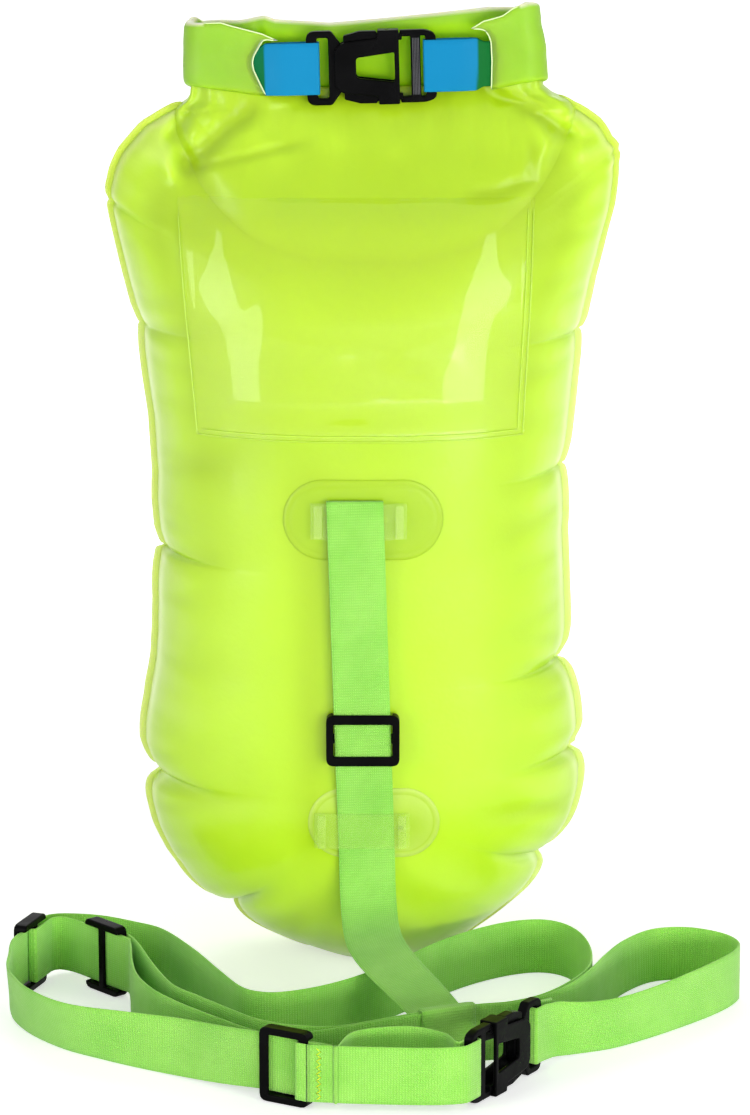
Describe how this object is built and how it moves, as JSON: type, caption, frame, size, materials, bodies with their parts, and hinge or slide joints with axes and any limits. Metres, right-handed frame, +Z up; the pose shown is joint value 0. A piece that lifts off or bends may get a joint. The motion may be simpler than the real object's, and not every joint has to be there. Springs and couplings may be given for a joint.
{
  "type": "swim buoy",
  "caption": "Inflatable swim buoy with a roll-top dry bag, a clear front pocket, an adjustable leash and a waist belt with a side-release buckle.",
  "frame": {"origin": "on the floor, under the middle of the inflated body that stands upright", "axes": "+Z up along the body towards the roll-top collar, -Y towards the front with the pocket and the leash, +X to the right seen from the front"},
  "size_m": [0.39, 0.3522, 0.5193],
  "materials": {
    "air_film": "gloss",
    "roll_film": "satin",
    "tab_film": "satin",
    "webbing": "matte",
    "black_plastic": "satin",
    "clear_film": "gloss",
    "stiffener_plastic": "satin"
  },
  "bodies": {
    "float": {"front_chamber": "air_film", "back_chamber": "air_film", "dry_bag": "air_film", "roll_top": "roll_film", "roll_stiffener": "stiffener_plastic", "left_tab": "tab_film", "right_tab": "tab_film", "roll_buckle_female": "black_plastic", "pocket_window": "clear_film", "upper_anchor_patch": "air_film", "lower_anchor_patch": "air_film", "upper_anchor_loop": "clear_film", "lower_anchor_loop": "clear_film", "leash_webbing": "webbing", "leash_tether": "webbing", "leash_belt_loop": "webbing", "belt_webbing": "webbing", "belt_tail_webbing": "webbing", "buckle_webbing": "webbing", "waist_buckle_female": "black_plastic", "valve_flange": "air_film", "valve_stem": "clear_film", "valve_flap": "clear_film"},
    "roll_clip": {"roll_buckle_male": "black_plastic"},
    "roll_upper_arm": {"roll_prong_upper": "black_plastic"},
    "roll_lower_arm": {"roll_prong_lower": "black_plastic"},
    "waist_clip": {"waist_buckle_male": "black_plastic"},
    "waist_upper_arm": {"waist_prong_upper": "black_plastic"},
    "waist_lower_arm": {"waist_prong_lower": "black_plastic"},
    "leash_adjuster": {"leash_slider": "black_plastic"},
    "front_adjuster": {"belt_slider_front": "black_plastic"},
    "left_adjuster": {"belt_slider_left": "black_plastic"},
    "inner_adjuster": {"belt_slider_inner": "black_plastic"},
    "plug": {"valve_plug": "black_plastic"}
  },
  "joints": [
    {"name": "roll_clip_slide", "type": "slide", "parent": "float", "child": "roll_clip", "axis": [0.9997, 0, 0.0262], "range_m": [0, 0.026], "deforming": ["right_tab", "roll_prong_upper", "roll_prong_lower"]},
    {"name": "roll_upper_press", "type": "hinge", "parent": "roll_clip", "child": "roll_upper_arm", "pos_m": [0.02122, -0.016, 0.50677], "axis": [0, -1, 0], "range_deg": [0, 6], "stiffness_Nm_per_rad": 0.5},
    {"name": "roll_lower_press", "type": "hinge", "parent": "roll_clip", "child": "roll_lower_arm", "pos_m": [0.02205, -0.016, 0.47518], "axis": [0, 1, 0], "range_deg": [0, 6], "stiffness_Nm_per_rad": 0.5},
    {"name": "waist_clip_slide", "type": "slide", "parent": "float", "child": "waist_clip", "axis": [-0.5358, -0.8443, 0], "range_m": [0, 0.032], "deforming": ["buckle_webbing", "waist_prong_upper", "waist_prong_lower"]},
    {"name": "waist_upper_press", "type": "hinge", "parent": "waist_clip", "child": "waist_upper_arm", "pos_m": [0.06207, -0.24773, 0.0354], "axis": [-0.8443, 0.5358, 0], "range_deg": [0, 6], "stiffness_Nm_per_rad": 0.5},
    {"name": "waist_lower_press", "type": "hinge", "parent": "waist_clip", "child": "waist_lower_arm", "pos_m": [0.06207, -0.24773, 0.0038], "axis": [0.8443, -0.5358, 0], "range_deg": [0, 6], "stiffness_Nm_per_rad": 0.5},
    {"name": "leash_adjust", "type": "slide", "parent": "float", "child": "leash_adjuster", "axis": [0, 0, 1], "range_m": [-0.02, 0.06], "deforming": ["leash_webbing"]},
    {"name": "front_adjust", "type": "slide", "parent": "float", "child": "front_adjuster", "axis": [0.8695, -0.4939, 0], "range_m": [-0.008, 0.008], "deforming": ["belt_webbing"]},
    {"name": "left_adjust", "type": "slide", "parent": "float", "child": "left_adjuster", "axis": [0.3306, 0.9438, 0], "range_m": [-0.005, 0.005], "deforming": ["belt_tail_webbing"]},
    {"name": "inner_adjust", "type": "slide", "parent": "float", "child": "inner_adjuster", "axis": [-0.663, 0.7486, 0], "range_m": [-0.005, 0.005]},
    {"name": "plug_hinge", "type": "hinge", "parent": "float", "child": "plug", "pos_m": [0, 0.0772, 0.3205], "axis": [-1, 0, 0], "range_deg": [0, 150]}
  ]
}
